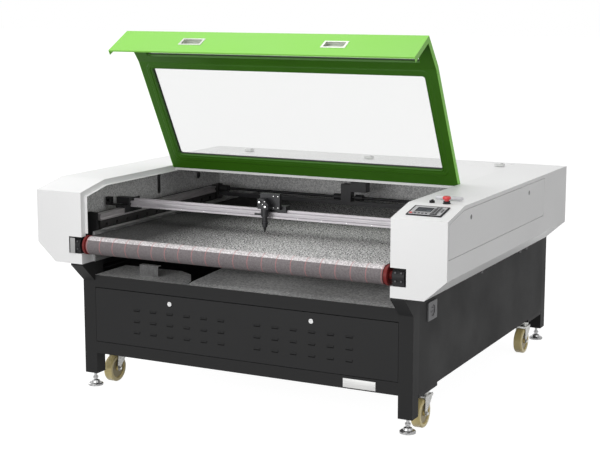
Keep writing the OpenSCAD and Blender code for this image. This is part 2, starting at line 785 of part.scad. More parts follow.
module control_panel() {
    color("#26262a") centred() {
        // keypad on the desk, with its screen window and key field
        translate([pod_mid, 0, desk_z]) rotate([slope_a, 0, 0]) difference() {
            box(-87, 87, 51, 172, 0, 5);
            box(-59, 18, 97, 148, 4, 6);
            box(26, 58, 78, 166, 4.4, 6);
            box(-59, 18, 60, 88, 4.4, 6);
        }
        // base of the emergency stop
        difference() {
            union() {
                rod_z(pod_mid + 42, 238, housing_top, housing_top + 4, 19);
                rod_z(pod_mid + 42, 238, housing_top + 3, housing_top + 13, 16);
            }
            rod_z(pod_mid + 42, 238, housing_top + 1, housing_top + 14, 11 + run);
        }
    }
}
module estop_button() {
    r = estop_d / 2;
    color("#c8282d") centred() translate([pod_mid + 42, 238, housing_top]) rotate_extrude() polygon([
        [0, 8], [11, 8], [11, 20], [r - 2, 21], [r, 25], [r, 31], [r - 5, 36], [0, 37]
    ]);
}
module key_switch() {
    color("#1e1e20") centred() translate([pod_mid - 32, 239, housing_top]) {
        translate([0, 0, -2]) cylinder(h = 3, r = 5);
        difference() {
            translate([0, 0, slide_gap]) cylinder(h = 10, r = 13);
            translate([-1, -5, 8]) cube([2, 10, 3]);
        }
        difference() {
            translate([-3, -12, 10]) cube([6, 24, 5]);
            translate([-1, -5, 8]) cube([2, 10, 8]);
        }
    }
}

// ---- lid -----------------------------------------------------------------
lid_x = ox - lid_gap;
main_s0 = rail_band;
main_s1 = lid_flat - 43;
up_s0 = 45;
up_s1 = lid_slope - 20;
up_x = lid_x - band_w - 5;
// the lid's own frame: hinge axis at the origin, closed, outer face at z = 6
module lid_place() {
    translate([0, hinge_y, hinge_z]) rotate([-lid_open, 0, 0]) translate([0, 0, 6]) children();
}
module on_slope() {
    translate([0, -lid_flat, 0]) rotate([lid_kink, 0, 0]) children();
}
module on_front() {
    on_slope() translate([0, -lid_slope, 0]) rotate([90 - lid_kink, 0, 0]) children();
}
// outline of the lid between depths a and b under its outer face
function lid_line(d) =
    let (k = tan(lid_kink / 2), f = tan((90 - lid_kink) / 2))
    let (ky = -lid_flat + d * k, fy = -lid_flat - (lid_slope - d * f) * cos(lid_kink) + d * sin(lid_kink))
    let (fz = -(lid_slope - d * f) * sin(lid_kink) - d * cos(lid_kink))
    [[-7, -d], [ky, -d], [fy, fz]];
module round_plate(x, s0, s1, r, z0, z1) {
    box(-x, x, -s1 + r, -s0 - r, z0, z1);
    box(-x + r, x - r, -s1, -s0, z0, z1);
    for (sx = [-1, 1], s = [s0 + r, s1 - r]) rod_z(sx * (x - r), -s, z0, z1, r);
}
module lid_band(x, d0, d1, s_end) {
    a = lid_line(d0);
    b = lid_line(d1);
    prism_x(-x, x, [a[0], a[1], a[2], b[2], b[1], b[0]]);
}
module lid_frame() {
    color("#34691a") centred() lid_place() {
        difference() {
            lid_band(lid_x - 2, sheet, lid_t, 0);
            // hollow of the hinge rail, bands and cross rail, open to the skin
            both() box(lid_x - band_w + 4, lid_x - 6, -lid_flat + 12, -14, -lid_t + 2, 0);
            box(-lid_x + 60, lid_x - 60, -rail_band + 6, -14, -lid_t + 2, 0);
            translate([0, 0, 0]) round_plate(lid_x - band_w, main_s0, main_s1, window_r, -lid_t - 1, 1);
            on_slope() round_plate(up_x, up_s0, up_s1, 12, -lid_t - 1, 1);
            // seats of the panes
            round_plate(lid_x - band_w + 14, main_s0 - 14, main_s1 + 14, window_r + 14, -sheet - window_t, 1);
            on_slope() round_plate(up_x + 10, up_s0 - 10, up_s1 + 10, 20, -sheet - window_t, 1);
        }
        for (x = hinge_xs) difference() {
            union() {
                translate([0, 0, -6]) rod_x(x - 14.5, x + 14.5, 0, 0, 6);
                box(x - 14.5, x + 14.5, -8, 0, -6, -2);
            }
            translate([0, 0, -6]) rod_x(x - 15, x + 15, 0, 0, 3 + run);
        }
    }
}
// closed profile of the skin: hinge edge, kink, fold, lower edge, and back
// at depth d, with the lower edge hemmed when hem is true
function lid_profile(d, hem) =
    let (a = lid_line(0), b = lid_line(d), fy = a[2][0], bz = a[2][1] - lid_front)
    concat(a, [[fy, bz], [fy + (hem ? lid_hem : d), bz]],
        hem ? [[fy + lid_hem, bz + d], [fy + d, bz + d]] : [],
        [b[2], b[1], b[0]]);
module lid_skin() {
    color("#a5eb78") centred() lid_place() {
        difference() {
            union() {
                prism_x(-lid_x, lid_x, lid_profile(sheet, true));
                prism_x(-lid_x, -lid_x + sheet, lid_profile(lid_t, false));
                prism_x(lid_x - sheet, lid_x, lid_profile(lid_t, false));
            }
            round_plate(lid_x - band_w, main_s0, main_s1, window_r, -3, 1);
            on_slope() round_plate(up_x, up_s0, up_s1, 12, -3, 1);
            on_front() for (s = [-1, 1])
                box(s * pull_x - pull_w / 2 + 9, s * pull_x + pull_w / 2 - 9,
                    -101 - pull_h / 2 + 7, -101 + pull_h / 2 - 7, -3, 1);
        }
    }
}
pull_x = 408;
module lid_windows() {
    color("#dfe9e6") centred() lid_place() {
        g = slide_gap;
        round_plate(lid_x - band_w + 14 - g, main_s0 - 14 + g, main_s1 + 14 - g, window_r + 14 - g,
            -sheet - window_t, -sheet);
        on_slope() round_plate(up_x + 10 - g, up_s0 - 10 + g, up_s1 + 10 - g, 20 - g, -sheet - window_t, -sheet);
    }
}
module lid_pulls() {
    color("#b9c4b4") centred() lid_place() on_front() for (s = [-1, 1])
        translate([s * pull_x, -101, 0]) difference() {
            union() {
                box(-pull_w / 2, pull_w / 2, -pull_h / 2, pull_h / 2, 0, 2);
                box(-pull_w / 2 + 9, pull_w / 2 - 9, -pull_h / 2 + 7, pull_h / 2 - 7, -20, 1);
            }
            box(-pull_w / 2 + 12, pull_w / 2 - 12, -pull_h / 2 + 10, pull_h / 2 - 10, -18, 3);
        }
}

// ---- doors and locks -----------------------------------------------------
module louvre(x, z) {
    // pressed hood, open below
    difference() {
        prism_x(x - louvre_w / 2, x + louvre_w / 2, [
            [cab_y, z + 5], [cab_y - 5, z - 3], [cab_y - 5, z - 4], [cab_y, z - 4]
        ]);
        prism_x(x - louvre_w / 2 + 1, x + louvre_w / 2 - 1, [
            [cab_y + 1, z + 3.5], [cab_y, z + 3.2], [cab_y - 4, z - 3.2], [cab_y - 4, z - 5], [cab_y + 1, z - 5]
        ]);
    }
}
louvre_rows = [60, 120, 180];
louvre_x0 = 104;
lock_x = 407;
lock_z = door_z + door_h - 42;
module front_door() {
    x1 = ox - 1.5;
    z1 = door_z + door_h;
    y1 = cab_y + 14;
    color("#303030") centred() {
        difference() {
            box(-x1, x1, cab_y, y1, door_z, z1);
            box(-x1 + 2, x1 - 2, cab_y + 2, y1 + 1, door_z + 2, z1 - 2);
            for (s = [-1, 1], i = [0:louvre_cols - 1], h = louvre_rows)
                box(s * (louvre_x0 + i * louvre_pitch) - louvre_w / 2 + 1,
                    s * (louvre_x0 + i * louvre_pitch) + louvre_w / 2 - 1,
                    cab_y - 1, cab_y + 3, door_z + 15 + h - 3, door_z + 15 + h + 3);
            for (s = [-1, 1]) rod_y(s * lock_x, cab_y - 1, cab_y + 3, lock_z, 9 + run);
        }
        for (s = [-1, 1], i = [0:louvre_cols - 1], h = louvre_rows)
            louvre(s * (louvre_x0 + i * louvre_pitch), door_z + 15 + h);
        // pivot pins and their lugs
        both() {
            box(x1 - 12, x1, cab_y + 1, cab_y + 8, door_z + 1, door_z + 8);
            rod_x(x1 - 1, x1 + 10, cab_y + 4, door_z + 4, 3);
        }
    }
}
// quarter-turn lock whose axis runs along Z through a sheet at z = 0,
// with its cap on top and its tongue along +X at the given depth
module quarter_lock(depth, reach, cap_r) {
    difference() {
        translate([0, 0, slide_gap]) cylinder(h = 3, r = cap_r);
        translate([-1, -5, 2]) cube([2, 10, 3]);
    }
    translate([0, 0, -depth]) cylinder(h = depth + 1, r = 9);
    translate([-8, -8, -depth - 3]) cube([reach + 8, 16, 3.5]);
}
module door_lock(x) {
    color("#b0b2b4") centred() translate([x, cab_y, lock_z]) rotate([90, 0, 0]) quarter_lock(rail_fold + 1.5, 52, lock_cap_r);
}
module door_lock_left() {
    door_lock(-lock_x);
}
module door_lock_right() {
    door_lock(lock_x);
}
module side_door() {
    color("#e7e7e7") centred() {
        difference() {
            prism_x(hx - 13, hx, side_door_outline(0));
            prism_x(hx - 14, hx - 2, side_door_outline(2));
            for (y = side_lock_ys) rod_x(hx - 3, hx + 1, y, side_lock_z, lock_cap_r + run);
        }
        for (e = [[side_y0, 1], [side_y1 - 12, -1]])
            box(hx - 10, hx - 1, e[0], e[0] + 12, side_z0 + 1, side_z0 + 8);
        rod_y(hx - 5, side_y0 - 8, side_y0 + 2, side_z0 + 4, 2.5);
        rod_y(hx - 5, side_y1 - 2, side_y1 + 8, side_z0 + 4, 2.5);
    }
}
lock_cap_r = 12;
side_lock_ys = [306, 1196];
side_lock_z = housing_top - 65;
module side_lock(y) {
    color("#c4c6c8") centred() translate([hx - 3 - slide_gap, y, side_lock_z])
        rotate([0, 90, 0]) rotate([0, 0, 90]) quarter_lock(14, 54, lock_cap_r);
}
module side_lock_front() {
    side_lock(side_lock_ys[0]);
}
module side_lock_rear() {
    side_lock(side_lock_ys[1]);
}
hatch_lock_y = hatch_y + 28;
hatch_lock_x = hatch_x - 33;
module tube_hatch() {
    x1 = hatch_x - 2;
    y0 = hatch_y + 2;
    y1 = housing_d - 22;
    color("#ededed") centred() {
        difference() {
            box(-x1, x1, y0, y1, housing_top - 13, housing_top);
            box(-x1 + 2, x1 - 2, y0 + 2, y1 - 2, housing_top - 14, housing_top - 2);
            for (x = [-hatch_lock_x, 0, hatch_lock_x])
                rod_z(x, hatch_lock_y, housing_top - 3, housing_top + 1, 9 + run);
        }
        both() {
            box(x1 - 10, x1, y1 - 9, y1 - 1, housing_top - 10, housing_top - 1);
            rod_x(x1 - 1, x1 + 4, housing_d - 26, housing_top - 5, 2.5);
        }
    }
}
module hatch_lock(x) {
    color("#d8d8d8") centred() translate([x, hatch_lock_y, housing_top]) mirror([x > 0 ? 1 : 0, 0, 0]) {
        quarter_lock(17, 48, 13);
        hull() for (s = [-1, 1]) translate([s * 14, 0, 3]) cylinder(h = 14, r = 16, $fn = 32);
    }
}
module hatch_lock_left() {
    hatch_lock(-hatch_lock_x);
}
module hatch_lock_mid() {
    hatch_lock(0);
}
module hatch_lock_right() {
    hatch_lock(hatch_lock_x);
}

// ---- casters and feet ----------------------------------------------------
crown_z = bracket_z - 10 - slide_gap;
module fork(x, y, braked) {
    color("#b4b6b8") centred() translate([x, y, 0]) {
        rod_z(0, 0, crown_z - 2, bracket_z + 5, 8);
        rod_z(0, 0, crown_z - 20, crown_z, 24);
        box(-31, 31, -trail - 8, 20, crown_z - 24, crown_z - 18);
        for (s = [-1, 1])
            prism_x(s > 0 ? 27 : -31, s > 0 ? 31 : -27, [
                [20, crown_z - 18], [-trail - 8, crown_z - 18], [-trail - 15, wheel_r + 8],
                [-trail - 8, wheel_r - 12], [-trail + 8, wheel_r - 12], [-trail + 15, wheel_r + 8],
                [20, crown_z - 40]
            ]);
        rod_x(-36, 36, -trail, wheel_r, 5);
        for (s = [-1, 1]) rod_x(s > 0 ? 31 : -36, s > 0 ? 36 : -31, -trail, wheel_r, 10);
        if (braked) {
            for (s = [-1, 1])
                box(s > 0 ? 27 : -31, s > 0 ? 31 : -27, 18, 34, crown_z - 34, crown_z - 18);
            rod_x(-31, 31, 28, crown_z - 26, 3);
        }
    }
}
module wheel(x, y) {
    w = wheel_w / 2;
    color("#d7c382") centred() translate([x, y - trail, wheel_r]) rotate([0, 90, 0])
        difference() {
            rotate_extrude($fn = 96) polygon([
                [0, -w - 2], [14, -w - 2], [14, -w + 6], [wheel_r * 0.72, -w + 6], [wheel_r * 0.74, -w],
                [wheel_r - 4, -w], [wheel_r, -w + 5], [wheel_r, w - 5], [wheel_r - 4, w],
                [wheel_r * 0.74, w], [wheel_r * 0.72, w - 6], [14, w - 6], [14, w + 2], [0, w + 2]
            ]);
            translate([0, 0, -w - 3]) cylinder(h = 2 * w + 6, r = 5 + run);
        }
}
module brake(x, y) {
    color("#9a9c9e") centred() translate([x, y, 0]) difference() {
        union() {
            rod_x(-20, 20, 28, crown_z - 26, 6);
            prism_x(-20, 20, [
                [28, crown_z - 24], [66, crown_z - 34], [68, crown_z - 38], [64, crown_z - 39],
                [28, crown_z - 30]
            ]);
        }
        rod_x(-21, 21, 28, crown_z - 26, 3 + run);
    }
}
front_swivel = cab_y + caster_inset;
rear_swivel = cab_rear - caster_inset;
module fork_fl() { fork(-swivel_x, front_swivel, true); }
module fork_fr() { fork(swivel_x, front_swivel, true); }
module fork_rl() { fork(-swivel_x, rear_swivel, false); }
module fork_rr() { fork(swivel_x, rear_swivel, false); }
module wheel_fl() { wheel(-swivel_x, front_swivel); }
module wheel_fr() { wheel(swivel_x, front_swivel); }
module wheel_rl() { wheel(-swivel_x, rear_swivel); }
module wheel_rr() { wheel(swivel_x, rear_swivel); }
module brake_left() { brake(-swivel_x, front_swivel); }
module brake_right() { brake(swivel_x, front_swivel); }
module foot(x, y) {
    r = pad_d / 2;
    z = pad_gap;
    color("#b9bbbd") centred() translate([x, y, 0]) {
        rotate_extrude() polygon([
            [0, z], [r, z], [r, z + 9], [r - 5, z + 13], [r * 0.6, z + 15], [r * 0.5, z + 26],
            [12, z + 30], [8, z + 30], [8, leg_z + 80], [0, leg_z + 80]
        ]);
        translate([0, 0, z + 38]) cylinder(h = 10, r = 15, $fn = 6);
    }
}
module foot_fl() { foot(-foot_x, cab_y + foot_y); }
module foot_fr() { foot(foot_x, cab_y + foot_y); }
module foot_rl() { foot(-foot_x, cab_rear - foot_y); }
module foot_rr() { foot(foot_x, cab_rear - foot_y); }

cabinet_frame();
cabinet_panels();
left_pod();
right_pod();
rear_deck();
inner_walls();
belt_table();
mesh_belt();
waste_chute();
y_rails();
rail_carriers();
idler_blocks();
drive_belts();
drive_motors();
roller_bearings();
control_panel();
laser_tube();
tube_holders();
side_fittings();
exhaust_outlets();
bar_handle();
lid_frame();
lid_skin();
lid_windows();
lid_pulls();
front_door();
door_lock_left();
door_lock_right();
side_door();
side_lock_front();
side_lock_rear();
tube_hatch();
hatch_lock_left();
hatch_lock_mid();
hatch_lock_right();
x_beam();
gantry_ends();
x_motor();
laser_head();
focus_tube();
front_roller();
rear_roller();
sync_shaft();
idler_pulleys();
estop_button();
key_switch();
fork_fl();
fork_fr();
fork_rl();
fork_rr();
wheel_fl();
wheel_fr();
wheel_rl();
wheel_rr();
brake_left();
brake_right();
foot_fl();
foot_fr();
foot_rl();
foot_rr();
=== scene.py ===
import json
import math
from functools import partial

import bmesh
import bpy
from mathutils import Matrix, Vector


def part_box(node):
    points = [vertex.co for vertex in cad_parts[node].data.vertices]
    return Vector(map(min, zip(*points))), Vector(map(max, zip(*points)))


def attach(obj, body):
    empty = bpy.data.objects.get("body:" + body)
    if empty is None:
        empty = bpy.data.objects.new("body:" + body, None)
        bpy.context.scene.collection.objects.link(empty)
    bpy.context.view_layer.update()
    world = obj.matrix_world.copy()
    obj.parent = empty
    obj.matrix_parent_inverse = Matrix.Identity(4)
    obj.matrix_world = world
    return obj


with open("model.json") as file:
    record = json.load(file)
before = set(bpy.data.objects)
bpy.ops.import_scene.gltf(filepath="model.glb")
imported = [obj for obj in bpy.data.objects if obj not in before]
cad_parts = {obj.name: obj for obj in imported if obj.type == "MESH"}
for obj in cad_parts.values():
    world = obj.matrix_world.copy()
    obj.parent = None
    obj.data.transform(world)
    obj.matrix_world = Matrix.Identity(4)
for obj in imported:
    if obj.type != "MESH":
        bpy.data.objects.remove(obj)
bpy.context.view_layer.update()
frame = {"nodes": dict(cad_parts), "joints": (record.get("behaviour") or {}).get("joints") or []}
nodes = frame["nodes"]
joints = {joint["name"]: joint for joint in frame["joints"]}
scene = bpy.context.scene
corners = ("fl", "fr", "rl", "rr")


# ---------------------------------------------------------------- shader building blocks
MIX_FACTOR, MIX_A, MIX_B, MIX_RESULT = 0, 6, 7, 2   # sockets of a mix node for colours


def graph(name):
    material = bpy.data.materials.new(name)
    material.use_nodes = True
    tree = material.node_tree
    return material, tree, tree.nodes["Principled BSDF"]


def feed(nt, socket, value):
    """Gives a socket another socket's output, a number or a colour."""
    if isinstance(value, (int, float)):
        socket.default_value = value
    elif isinstance(value, (tuple, list)):
        socket.default_value = (*value[:3], 1)
    else:
        nt.links.new(value, socket)


def coords(nt, scale=(1, 1, 1)):
    source = nt.nodes.new("ShaderNodeTexCoord")
    mapping = nt.nodes.new("ShaderNodeMapping")
    mapping.inputs["Scale"].default_value = scale
    nt.links.new(source.outputs["Object"], mapping.inputs["Vector"])
    return mapping.outputs["Vector"]


def noise(nt, vector, scale, detail=3.0, rough=0.5):
    n = nt.nodes.new("ShaderNodeTexNoise")
    n.inputs["Scale"].default_value = scale
    n.inputs["Detail"].default_value = detail
    n.inputs["Roughness"].default_value = rough
    nt.links.new(vector, n.inputs["Vector"])
    return n.outputs["Fac"]


def remap(nt, value, low, high, start=0.0, end=1.0):
    """low where value is start or less, high where it is end or more, and a ramp between."""
    n = nt.nodes.new("ShaderNodeMapRange")
    n.inputs["From Min"].default_value = start
    n.inputs["From Max"].default_value = end
    n.inputs["To Min"].default_value = low
    n.inputs["To Max"].default_value = high
    nt.links.new(value, n.inputs["Value"])
    return n.outputs["Result"]


def mix(nt, factor, a, b):
    n = nt.nodes.new("ShaderNodeMix")
    n.data_type = "RGBA"
    for index, value in ((MIX_FACTOR, factor), (MIX_A, a), (MIX_B, b)):
        feed(nt, n.inputs[index], value)
    return n.outputs[MIX_RESULT]


def calc(nt, operation, a, b=None):
    n = nt.nodes.new("ShaderNodeMath")
    n.operation = operation
    feed(nt, n.inputs[0], a)
    if b is not None:
        feed(nt, n.inputs[1], b)
    return n.outputs[0]


def bump(nt, bsdf, height, strength, distance):
    n = nt.nodes.new("ShaderNodeBump")
    n.inputs["Strength"].default_value = strength
    n.inputs["Distance"].default_value = distance
    nt.links.new(height, n.inputs["Height"])
    nt.links.new(n.outputs["Normal"], bsdf.inputs["Normal"])


def shade(color, factor):
    return tuple(min(1.0, channel * factor) for channel in color)


def varied(nt, pattern, color, var):
    """color, up to var darker and lighter as the pattern goes from 0.3 to 0.7."""
    return mix(nt, remap(nt, pattern, 0, 1, 0.3, 0.7), shade(color, 1 - var), shade(color, 1 + var))


# ---------------------------------------------------------------- kinds of surface
def paint(name, color, rough=0.4, metal=0.0, grain=600.0, var=0.06, bumps=0.25, coat=0.0, spec=0.5):
    """Powder coat, lacquer or moulded plastic: faint colour drift, orange peel, uneven gloss."""
    material, nt, bsdf = graph(name)
    vector = coords(nt)
    drift = noise(nt, vector, 3.5, 4)
    fine = noise(nt, vector, grain, 2)
    pattern = calc(nt, "ADD", calc(nt, "MULTIPLY", drift, 0.6), calc(nt, "MULTIPLY", fine, 0.4))
    nt.links.new(varied(nt, pattern, color, var), bsdf.inputs["Base Color"])
    nt.links.new(remap(nt, drift, rough - 0.06, rough + 0.06, 0.3, 0.7), bsdf.inputs["Roughness"])
    bump(nt, bsdf, fine, bumps, 0.0003)
    bsdf.inputs["Metallic"].default_value = metal
    bsdf.inputs["Coat Weight"].default_value = coat
    bsdf.inputs["Coat Roughness"].default_value = 0.12
    bsdf.inputs["Specular IOR Level"].default_value = spec
    return material


def speckled(name, dark, light, rough=0.45, metal=0.5, cell=170.0):
    """Hot-dip zinc: small bright and dull crystals with soft clouds over them."""
    material, nt, bsdf = graph(name)
    vector = coords(nt)
    cells = nt.nodes.new("ShaderNodeTexVoronoi")
    cells.inputs["Scale"].default_value = cell
    nt.links.new(vector, cells.inputs["Vector"])
    split = nt.nodes.new("ShaderNodeSeparateColor")
    nt.links.new(cells.outputs["Color"], split.inputs["Color"])
    crystal, gloss = split.outputs[0], split.outputs[1]
    fine = noise(nt, vector, 420, 3, 0.7)
    cloud = noise(nt, vector, 2.2, 4)
    pattern = calc(nt, "ADD", calc(nt, "MULTIPLY", crystal, 0.45), calc(nt, "MULTIPLY", fine, 0.55))
    pattern = calc(nt, "ADD", pattern, remap(nt, cloud, -0.12, 0.12, 0.3, 0.7))
    color = mix(nt, remap(nt, pattern, 0, 1, 0.28, 0.78), dark, light)
    nt.links.new(color, bsdf.inputs["Base Color"])
    nt.links.new(remap(nt, gloss, rough - 0.12, rough + 0.12), bsdf.inputs["Roughness"])
    bump(nt, bsdf, fine, 0.3, 0.0004)
    bsdf.inputs["Metallic"].default_value = metal
    return material


def brushed(name, color, rough=0.3, metal=0.9, along=0, var=0.18):
    """Drawn or brushed metal: fine lines along one axis."""
    material, nt, bsdf = graph(name)
    stretch = [1.0, 1.0, 1.0]
    stretch[along] = 0.03
    lines = noise(nt, coords(nt, stretch), 300, 3, 0.6)
    nt.links.new(varied(nt, lines, color, var), bsdf.inputs["Base Color"])
    nt.links.new(remap(nt, lines, rough - 0.08, rough + 0.1, 0.3, 0.7), bsdf.inputs["Roughness"])
    bump(nt, bsdf, lines, 0.15, 0.0002)
    bsdf.inputs["Metallic"].default_value = metal
    return material


def clear(name, tint, transmission=1.0, alpha=1.0):
    """Glass, or a pane that lets most rays straight through where alpha is low."""
    material, nt, bsdf = graph(name)
    drift = noise(nt, coords(nt), 4.0, 3)
    nt.links.new(mix(nt, drift, tint, shade(tint, 1.03)), bsdf.inputs["Base Color"])
    nt.links.new(remap(nt, drift, 0.02, 0.06, 0.3, 0.7), bsdf.inputs["Roughness"])
    bsdf.inputs["IOR"].default_value = 1.1
    bsdf.inputs["Transmission Weight"].default_value = transmission
    bsdf.inputs["Alpha"].default_value = alpha
    return material


def woven(name, low, high):
    """The wire belt between its corners low and high: crossing wires with dark gaps, red rings seen
    through its front bend, and bright and dark fields on it that are painted light and painted shade."""
    wire_pitch_x, wire_pitch_run = 0.0095, 0.0075
    ring_reach, ring_gaps = 0.83, 21      # the outer rings stand this far from the middle
    bend_start = low.y + 0.055            # the flat run bends down round the roller here
    highlight_depth = 0.018                   # how far forward the bend's painted highlight goes
    highlight_drop = 0.016                    # and how far down
    material, nt, bsdf = graph(name)
    vector = coords(nt)
    split = nt.nodes.new("ShaderNodeSeparateXYZ")
    nt.links.new(vector, split.inputs[0])
    x, y, z = (split.outputs[axis] for axis in range(3))
    operations = ("MULTIPLY", "ADD", "SUBTRACT", "DIVIDE", "LESS_THAN", "MAXIMUM", "POWER")
    times, plus, minus, over, less, most, power = (partial(calc, nt, kind) for kind in operations)

    def wires(along, pitch):
        wave = calc(nt, "SINE", times(along, 2 * math.pi / pitch))
        return power(calc(nt, "ABSOLUTE", wave), 3.0)

    # bright wires, broken up by grain, under painted shade and painted light that fade from the dark left
    # to the bright right
    weave = most(wires(x, wire_pitch_x), wires(plus(y, z), wire_pitch_run))
    grain = noise(nt, vector, 120, 3, 0.8)
    cloud = noise(nt, vector, 1.3, 4, 0.6)
    wire = times(remap(nt, weave, 0.7, 1.0), remap(nt, grain, 0.0, 1.0, 0.44, 0.58))
    painted_shading = remap(nt, x, 0.10, 1.6, -0.55, 0.10)
    # outside, behind the machine, the painted shade and light give way and the belt is evenly bright
    even = 0.8
    shading_reach = remap(nt, y, 1.0, 0.0, 0.60, 0.78)
    painted_shading = plus(times(minus(painted_shading, even), shading_reach), even)
    wire = times(wire, times(painted_shading, remap(nt, cloud, 0.8, 1.15, 0.3, 0.7)))
    color = mix(nt, wire, (0.014, 0.014, 0.014), (0.80, 0.79, 0.79))

    # a soft band of painted highlight lies along the top of the bend, where the mesh starts round the
    # roller
    front = less(y, bend_start)
    painted_highlight = times(front, remap(nt, y, 1.0, 0.0, bend_start - highlight_depth, bend_start - 0.002))
    # the colour of the painted highlight
    light = mix(nt, remap(nt, grain, 0.0, 1.0, 0.35, 0.65), (0.36, 0.34, 0.345), (0.82, 0.78, 0.79))
    color = mix(nt, times(painted_highlight, 0.9), color, light)
    # below it the mesh is an even dark grey, through which the roller's red rings show
    bend = less(z, high.z - highlight_drop)
    color = mix(nt, times(times(front, bend), 0.86), color, (0.120, 0.105, 0.109))
    pitch = 2 * ring_reach / ring_gaps
    turns = over(plus(x, ring_reach + 30 * pitch), pitch)   # whole numbers at the rings
    phase = calc(nt, "FRACT", plus(turns, 0.5))
    near = less(calc(nt, "ABSOLUTE", minus(phase, 0.5)), 0.032)
    color = mix(nt, times(times(near, front), 0.50), color, (0.50, 0.20, 0.20))

    nt.links.new(color, bsdf.inputs["Base Color"])
    nt.links.new(remap(nt, grain, 0.55, 0.75, 0.3, 0.7), bsdf.inputs["Roughness"])
    bump(nt, bsdf, grain, 0.25, 0.002)
    bsdf.inputs["Metallic"].default_value = 0.0
    bsdf.inputs["Specular IOR Level"].default_value = 0.05
    return material


def powder(name, color, rough=0.6, spec=0.14, bumps=0.35):
    """Powder coat of the cabinet's kind."""
    return paint(name, color, rough, spec=spec, grain=800, var=0.18, bumps=bumps)


# ---------------------------------------------------------------- surfaces
def grey(level):
    return (level, level, level)


SURFACE = {
    # housing and cabinet
    "white": paint("housing_white_paint", grey(0.80), 0.38, grain=900, var=0.015, bumps=0.12),
    "deck": paint("deck_white_paint", grey(0.82), 0.36, grain=900, var=0.015, bumps=0.12),
    "black": powder("panel_black_powder", (0.0105, 0.0105, 0.0108)),
    "frame": powder("frame_black_powder", (0.0190, 0.0190, 0.0193)),
    "door": powder("door_black_powder", (0.0112, 0.0112, 0.0116), 0.55, spec=0.2, bumps=0.3),
    "zinc_wall": speckled("galvanised_sheet", grey(0.50), (0.95, 0.95, 0.94), metal=0.0),
    "chute": speckled("galvanised_chute", grey(0.42), (0.86, 0.86, 0.85), metal=0.1, cell=120),
    # painted shade: a darker copy of the chute's zinc for its front-facing faces
    "strut": speckled("strut_zinc_painted_shade", grey(0.050), grey(0.115), metal=0.1, cell=120),
    # conveyor
    "mesh": woven("woven_wire_belt", *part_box("mesh_belt")),
    "table": brushed("table_alloy", grey(0.46), 0.36, 0.7, along=1),
    "red": paint("roller_red_enamel", (0.15, 0.014, 0.013), 0.45, grain=700, spec=0.2),
    "steel": brushed("roller_steel", grey(0.34), 0.35),
    "bracket": brushed("bearing_bracket", grey(0.36), 0.5, 0.0, along=2),
    # motion
    "rail": brushed("rail_alloy", (0.58, 0.55, 0.56), 0.34, 0.55, along=1),
    "beam": brushed("beam_alloy", (0.42, 0.40, 0.42), 0.38, 0.5),
    "dark": paint("dark_steel", (0.022, 0.022, 0.023), 0.45, grain=700, var=0.2, spec=0.3),
    "carrier": paint("carrier_steel", (0.042, 0.040, 0.040), 0.45, metal=0.3, grain=500, var=0.25),
    "rubber": paint("tooth_belt_rubber", grey(0.016), 0.7, grain=300, var=0.2),
    "motor": paint("motor_enamel", (0.022, 0.022, 0.024), 0.38, grain=700, var=0.2),
    "anod": paint("head_anodised", (0.016, 0.016, 0.018), 0.36, metal=0.4, grain=900, var=0.25),
    "pulley": paint("pulley_white", (0.66, 0.66, 0.62), 0.45, grain=700),
    "glass": clear("tube_glass", (0.86, 0.92, 0.96)),
    "plastic": paint("black_plastic", (0.013, 0.013, 0.014), 0.5, grain=900, var=0.2, spec=0.18),
    # lid
    # the frame's green is the skin's green made darker: painted shade
    "green_shaded": paint("frame_green_painted_shade", (0.034, 0.122, 0.006), spec=0.16, grain=700, var=0.08),
    "green_out": paint(
        "skin_green_lacquer", (0.24, 0.60, 0.085), 0.45, grain=900, var=0.02, spec=0.25, bumps=0.1
    ),
    "acrylic": clear("clear_acrylic", (0.50, 0.52, 0.51), transmission=0.0, alpha=0.12),
    "pull": brushed("pull_zinc", (0.55, 0.58, 0.52), metal=0.6),
    "gasket": paint("gasket_rubber", grey(0.012), 0.6, grain=500, var=0.2),
    # fittings, locks and controls
    "grey": paint("inlet_plastic", (0.15, 0.15, 0.155), 0.5, grain=900),
    "duct": speckled("duct_zinc", grey(0.3), grey(0.66), 0.35, 0.7, cell=90),
    "handle": paint("handle_plastic", (0.55, 0.55, 0.57), 0.35, grain=900),
    "lock": brushed("lock_zinc", grey(0.58), 0.26),
    "lock_dark": paint("lock_dark_steel", (0.055, 0.055, 0.058), 0.35, metal=0.4, grain=700, var=0.2),
    "cap": paint("lock_cap_white", grey(0.70), 0.3, grain=900, var=0.02),
    "stop": paint("stop_red", (0.58, 0.018, 0.022), 0.28, grain=900, coat=0.3),
    "overlay": paint("keypad_overlay", (0.42, 0.42, 0.43), grain=900),
    "screen": paint("display_glass", (0.016, 0.018, 0.022), grain=500, var=0.2, spec=0.15),
    "ink": paint("display_lines", (0.075, 0.085, 0.095), 0.5, grain=900, spec=0.15),
    "key": paint("key_rubber", (0.022, 0.022, 0.024), 0.5, grain=900, var=0.2),
    "key_red": paint("key_red", (0.62, 0.03, 0.03), grain=900),
    "plate": brushed("name_plate_alloy", (0.74, 0.74, 0.73), 0.4, 0.2, var=0.05),
    "slot": paint("slot_shadow_black", grey(0.004), 0.8, grain=300, spec=0.1),
    "chrome": brushed("chrome", grey(0.82), 0.12, 1.0, var=0.05),
    "bolt": brushed("bolt_steel", (0.62, 0.62, 0.61), 0.25, along=2, var=0.1),
    # casters and feet
    "fork": speckled("fork_zinc", (0.28, 0.28, 0.27), (0.66, 0.66, 0.64), 0.32, 0.85, cell=220),
    "wheel": paint("wheel_tan_pu", (0.80, 0.66, 0.29), 0.36, grain=500, var=0.08, coat=0.2),
    "hub": paint("hub_core", (0.34, 0.27, 0.12), grain=500),
    "foot": speckled("foot_zinc", grey(0.24), grey(0.54), 0.28, 0.85, cell=260),
}

